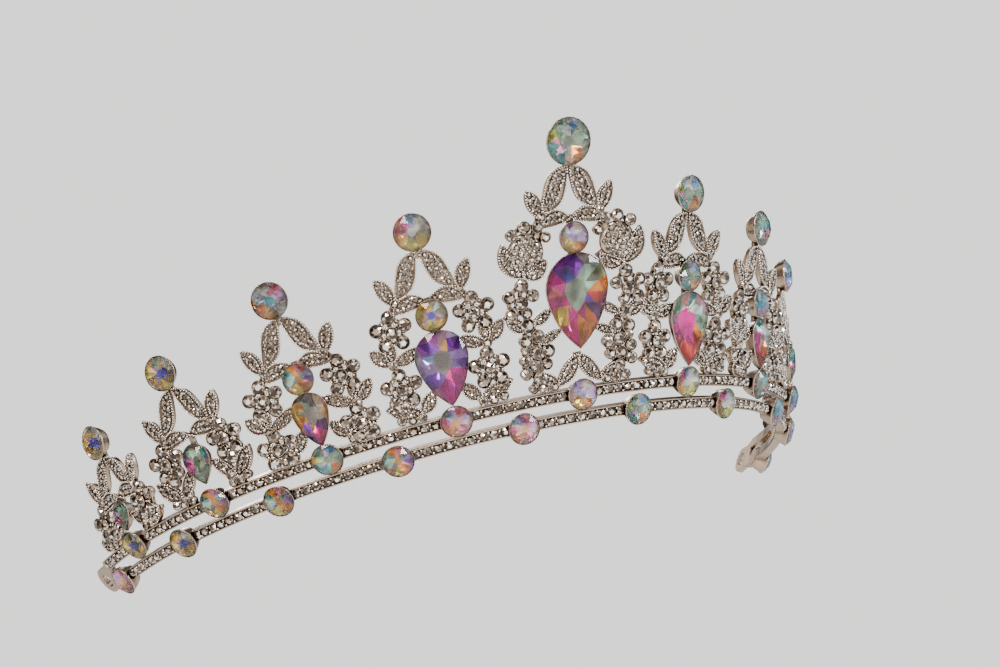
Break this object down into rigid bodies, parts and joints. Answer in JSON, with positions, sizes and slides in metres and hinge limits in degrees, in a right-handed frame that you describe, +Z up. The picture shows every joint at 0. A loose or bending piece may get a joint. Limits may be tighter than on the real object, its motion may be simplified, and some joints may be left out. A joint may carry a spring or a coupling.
{
  "type": "tiara",
  "caption": "Silver-toned rhinestone tiara: leaf and flower openwork panels on a double curved rail, with large round and drop-shaped iridescent stones and a hair-grip loop at each end.",
  "frame": {"origin": "under the middle of the tiara's outer box, on the surface that its lower stones' cups stand on", "axes": "+Z up, the front towards -Y, +X along the width; the tiara is mirrored about X = 0"},
  "size_m": [0.1604, 0.1084, 0.0538],
  "materials": {
    "silver_pave": "bright plated alloy, closely set with small clear stones",
    "aurora_clear": "faceted clear crystal over a foil back, with an iridescent coating",
    "aurora_violet": "faceted crystal over a foil back, with a violet to green iridescent coating"
  },
  "bodies": {
    "root": {"upper_rail": "silver_pave", "lower_rail": "silver_pave", "panel_left_4": "silver_pave", "top_stone_left_4": "aurora_clear", "drop_stone_left_4": "aurora_violet", "upper_band_stone_left_4": "aurora_clear", "panel_left_3": "silver_pave", "top_stone_left_3": "aurora_clear", "drop_stone_left_3": "aurora_violet", "upper_band_stone_left_3": "aurora_clear", "panel_left_2": "silver_pave", "top_stone_left_2": "aurora_clear", "drop_stone_left_2": "aurora_violet", "bud_stone_left_2": "aurora_clear", "upper_band_stone_left_2": "aurora_clear", "panel_left_1": "silver_pave", "top_stone_left_1": "aurora_clear", "drop_stone_left_1": "aurora_violet", "bud_stone_left_1": "aurora_clear", "upper_band_stone_left_1": "aurora_clear", "panel_center": "silver_pave", "top_stone_center": "aurora_clear", "drop_stone_center": "aurora_violet", "bud_stone_center": "aurora_clear", "upper_band_stone_center": "aurora_clear", "panel_right_1": "silver_pave", "top_stone_right_1": "aurora_clear", "drop_stone_right_1": "aurora_violet", "bud_stone_right_1": "aurora_clear", "upper_band_stone_right_1": "aurora_clear", "panel_right_2": "silver_pave", "top_stone_right_2": "aurora_clear", "drop_stone_right_2": "aurora_violet", "bud_stone_right_2": "aurora_clear", "upper_band_stone_right_2": "aurora_clear", "panel_right_3": "silver_pave", "top_stone_right_3": "aurora_clear", "drop_stone_right_3": "aurora_violet", "upper_band_stone_right_3": "aurora_clear", "panel_right_4": "silver_pave", "top_stone_right_4": "aurora_clear", "drop_stone_right_4": "aurora_violet", "upper_band_stone_right_4": "aurora_clear", "lower_band_stone_1": "aurora_clear", "lower_band_stone_2": "aurora_clear", "lower_band_stone_3": "aurora_clear", "lower_band_stone_4": "aurora_clear", "lower_band_stone_5": "aurora_clear", "lower_band_stone_6": "aurora_clear", "lower_band_stone_7": "aurora_clear", "lower_band_stone_8": "aurora_clear", "lower_band_stone_9": "aurora_clear", "lower_band_stone_10": "aurora_clear", "end_terminal_left": "silver_pave", "end_terminal_right": "silver_pave"}
  },
  "joints": []
}
